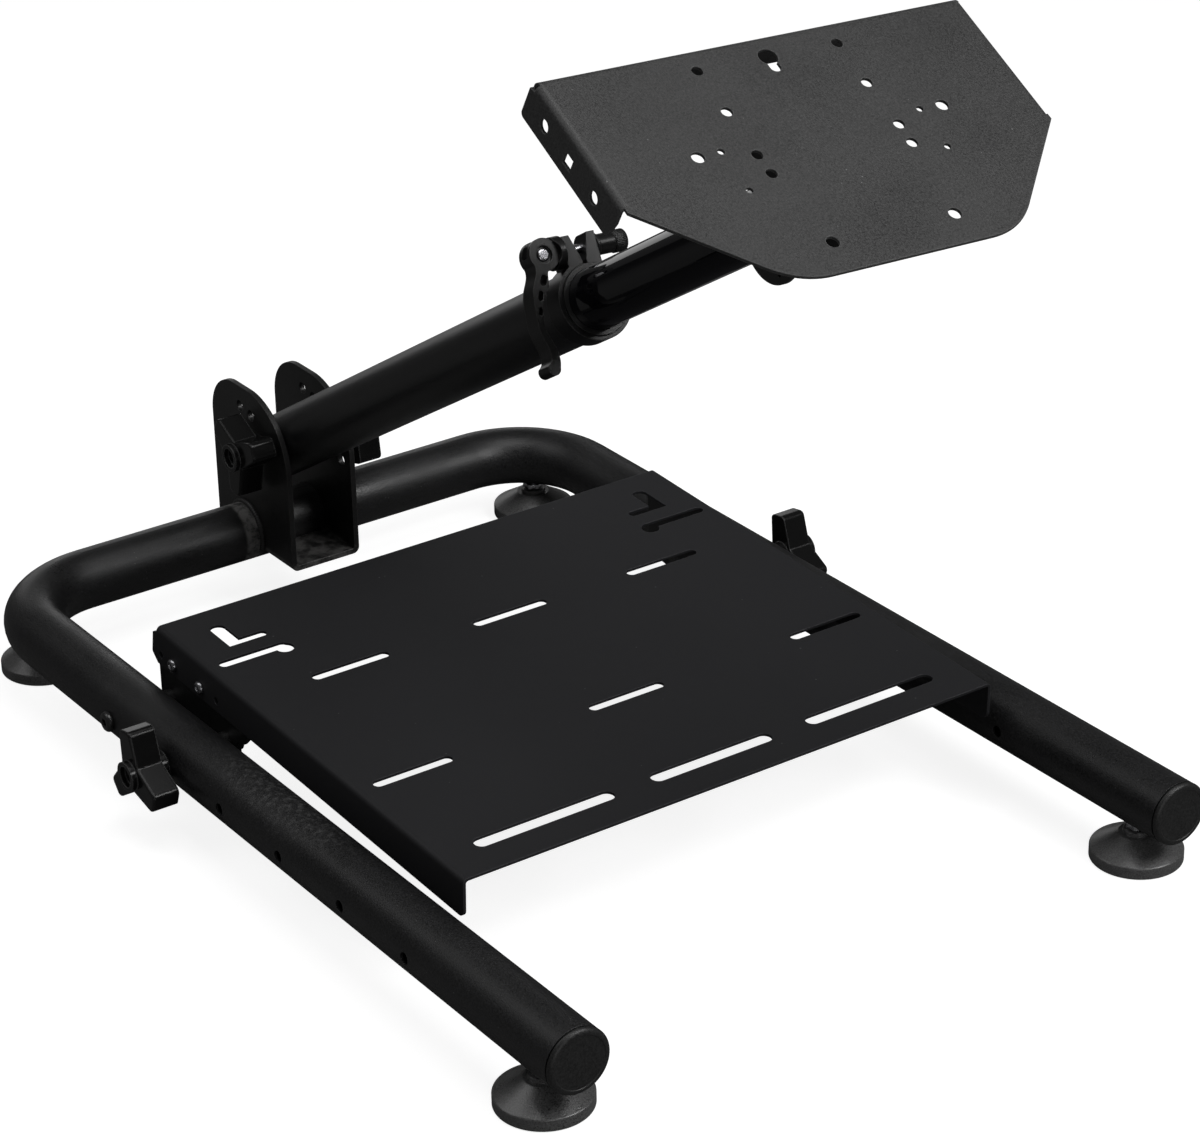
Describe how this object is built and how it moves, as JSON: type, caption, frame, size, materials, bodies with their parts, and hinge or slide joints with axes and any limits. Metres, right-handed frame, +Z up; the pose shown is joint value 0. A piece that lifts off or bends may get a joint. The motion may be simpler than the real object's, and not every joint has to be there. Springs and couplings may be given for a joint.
{
  "type": "racing wheel stand",
  "caption": "Folding floor stand for a gaming steering wheel and pedals: bent tube base, leaning telescopic post, tilting wheel plate and slotted pedal plate.",
  "frame": {"origin": "on the floor, at the middle of the stand's own box seen from above", "axes": "+Z up, +X to the player's right-hand leg as pictured, -Y towards the player and the open leg ends"},
  "size_m": [0.5508, 0.7542, 0.5607],
  "materials": {
    "powder_coat": "satin",
    "gloss_black": "gloss",
    "anodised_black": "satin",
    "black_steel": "satin",
    "zinc_steel": "satin",
    "black_plastic": "gloss",
    "foot_rubber": "matte"
  },
  "bodies": {
    "base": {"base_frame": "powder_coat", "foot_front_left": "foot_rubber", "foot_front_right": "foot_rubber", "foot_rear_left": "foot_rubber", "foot_rear_right": "foot_rubber", "foot_stud_front_left": "zinc_steel", "foot_stud_front_right": "zinc_steel", "foot_stud_rear_left": "zinc_steel", "foot_stud_rear_right": "zinc_steel", "leg_cap_left": "black_plastic", "leg_cap_right": "black_plastic", "pedal_knob_left": "black_plastic", "pedal_knob_right": "black_plastic", "pedal_lock_bolt_left": "black_steel", "pedal_lock_bolt_right": "black_steel", "pedal_pivot_bolt_left": "black_steel", "pedal_pivot_bolt_right": "black_steel", "pedal_spacer_front_left": "black_steel", "pedal_spacer_front_right": "black_steel", "pedal_spacer_rear_left": "black_steel", "pedal_spacer_rear_right": "black_steel", "post_bolt": "black_steel", "post_bracket": "powder_coat", "post_knob_left": "black_plastic", "post_knob_right": "black_plastic", "post_nut": "black_steel"},
    "post": {"post_tube": "powder_coat", "post_bushing": "black_plastic", "clamp_collar": "anodised_black", "clamp_bolt": "black_steel", "clamp_nut": "anodised_black", "clamp_washer": "black_steel"},
    "clamp_lever": {"clamp_lever": "anodised_black", "lever_pin": "black_steel"},
    "inner_tube": {"inner_tube": "gloss_black", "wheel_pivot_bolt": "black_steel", "wheel_lock_bolt": "black_steel"},
    "wheel_plate": {"wheel_plate": "powder_coat", "wheel_bracket": "powder_coat"},
    "pedal_deck": {"pedal_plate": "powder_coat", "pedal_bracket_left": "powder_coat", "pedal_bracket_right": "powder_coat"}
  },
  "joints": [
    {"name": "post_tilt", "type": "hinge", "parent": "base", "child": "post", "pos_m": [0, 0.30711, 0.1214], "axis": [-1, 0, 0], "range_deg": [0, 45]},
    {"name": "post_height", "type": "slide", "parent": "post", "child": "inner_tube", "axis": [0, -0.855, 0.5186], "range_m": [-0.15, 0.1]},
    {"name": "clamp_lever_swing", "type": "hinge", "parent": "post", "child": "clamp_lever", "pos_m": [-0.02451, -0.04846, 0.37783], "axis": [0, 0.855, -0.5186], "range_deg": [0, 110]},
    {"name": "wheel_plate_tilt", "type": "hinge", "parent": "inner_tube", "child": "wheel_plate", "pos_m": [0, -0.26831, 0.47043], "axis": [0.9993, -0.0195, -0.0322], "range_deg": [-15, 15]},
    {"name": "pedal_deck_tilt", "type": "hinge", "parent": "base", "child": "pedal_deck", "pos_m": [0, 0.13911, 0.0472], "axis": [-1, 0, 0], "range_deg": [0, 10]}
  ]
}
